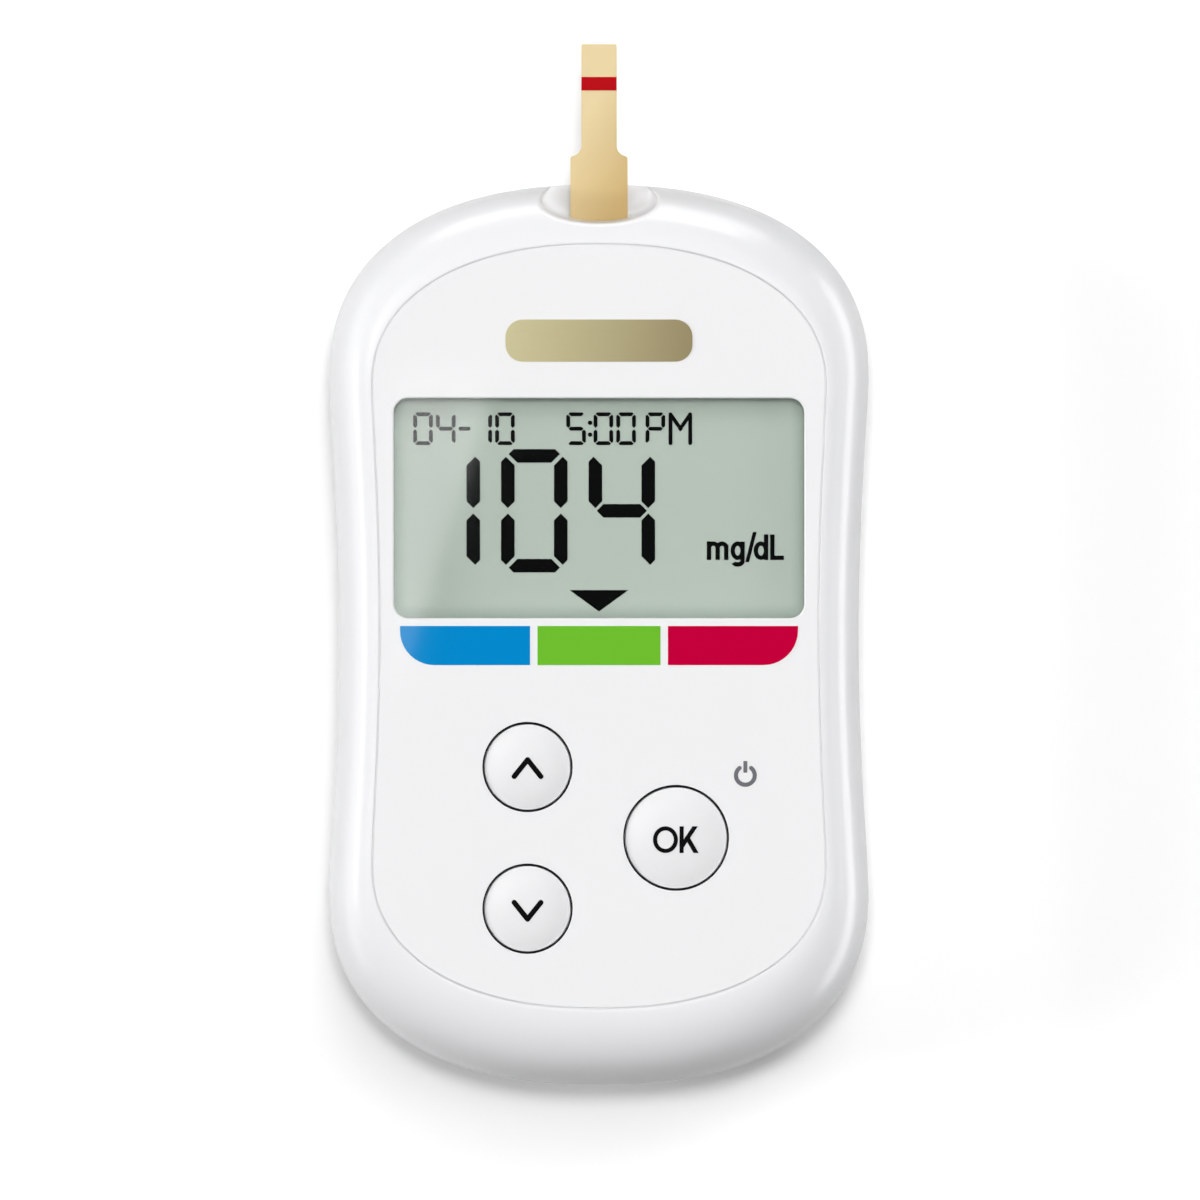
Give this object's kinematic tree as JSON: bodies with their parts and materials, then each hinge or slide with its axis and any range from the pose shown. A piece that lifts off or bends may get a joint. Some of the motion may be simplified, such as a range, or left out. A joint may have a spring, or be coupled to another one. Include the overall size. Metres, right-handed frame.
{
  "type": "blood glucose meter",
  "caption": "Hand-held blood glucose meter with a waisted rounded case, grey display, arrow and confirm keys, colour bars and a test strip in its top port.",
  "frame": {"origin": "centre of the flat back face that the meter lies on", "axes": "+Z out of the display, +Y along the case towards the test strip port, +X to the right as the display is read"},
  "size_m": [0.0518, 0.0999, 0.0164],
  "materials": {
    "case_white": "glossy moulded white",
    "plate_white": "satin gloss white",
    "key_white": "satin white",
    "clear_window": "clear polished",
    "display_grey": "grey-green reflective display",
    "cell_glass": "clear display glass",
    "reflector_film": "satin film",
    "display_black": "dark display segments",
    "frame_grey": "moulded",
    "zebra_rubber": "striped elastomer",
    "print_black": "printed ink",
    "print_grey": "printed ink",
    "print_blue": "printed ink",
    "print_green": "printed ink",
    "print_red": "printed ink",
    "seal_black": "soft rubber",
    "spring_steel": "bright spring steel",
    "board_green": "solder mask",
    "chip_black": "moulded package",
    "can_steel": "plated steel",
    "ceramic_tan": "fired ceramic",
    "connector_black": "moulded",
    "contact_gold": "gold plated",
    "strip_gold": "pale gold laminated film",
    "band_red": "printed ink",
    "cell_steel": "plated steel",
    "holder_black": "moulded",
    "tab_film": "clear film",
    "screw_steel": "zinc plated",
    "badge_gold": "brushed pale gold foil",
    "label_paper": "matt label film"
  },
  "bodies": {
    "case": {"front_shell": "case_white", "rear_shell": "case_white", "faceplate": "plate_white", "display_window": "clear_window", "lcd_front_polarizer": "display_grey", "lcd_front_glass": "cell_glass", "lcd_rear_glass": "cell_glass", "lcd_reflector": "reflector_film", "lcd_segments": "display_black", "lcd_holder": "frame_grey", "zebra_strip": "zebra_rubber", "key_seals": "seal_black", "dome_up": "spring_steel", "dome_down": "spring_steel", "dome_ok": "spring_steel", "main_board": "board_green", "microcontroller": "chip_black", "radio_module": "can_steel", "board_parts": "ceramic_tan", "strip_connector": "connector_black", "strip_contacts": "contact_gold", "coin_cell": "cell_steel", "battery_holder": "holder_black", "cell_contact_positive": "contact_gold", "cell_contact_negative": "contact_gold", "battery_pull_tab": "tab_film", "usb_socket": "can_steel", "case_screws": "screw_steel", "bar_blue": "print_blue", "bar_green": "print_green", "bar_red": "print_red", "badge_plate": "badge_gold", "power_mark": "print_grey", "rear_label": "label_paper"},
    "key_up": {"key_up": "key_white", "key_up_mark": "print_black"},
    "key_down": {"key_down": "key_white", "key_down_mark": "print_black"},
    "key_ok": {"key_ok": "key_white", "key_ok_mark": "print_black"},
    "strip": {"test_strip": "strip_gold", "strip_band": "band_red"},
    "door": {"battery_door": "case_white"}
  },
  "joints": [
    {"name": "key_up_press", "type": "slide", "parent": "case", "child": "key_up", "axis": [0, 0, -1], "range_m": [0, 0.0004], "stiffness_N_per_m": 400, "springref_m": -0.0005, "deforming": ["dome_up"]},
    {"name": "key_down_press", "type": "slide", "parent": "case", "child": "key_down", "axis": [0, 0, -1], "range_m": [0, 0.0004], "stiffness_N_per_m": 400, "springref_m": -0.0005, "deforming": ["dome_down"]},
    {"name": "key_ok_press", "type": "slide", "parent": "case", "child": "key_ok", "axis": [0, 0, -1], "range_m": [0, 0.0004], "stiffness_N_per_m": 400, "springref_m": -0.0005, "deforming": ["dome_ok"]},
    {"name": "strip_slide", "type": "slide", "parent": "case", "child": "strip", "axis": [0, 1, 0], "range_m": [0, 0.017]},
    {"name": "door_slide", "type": "slide", "parent": "case", "child": "door", "axis": [0, -1, 0], "range_m": [0, 0.036]}
  ]
}
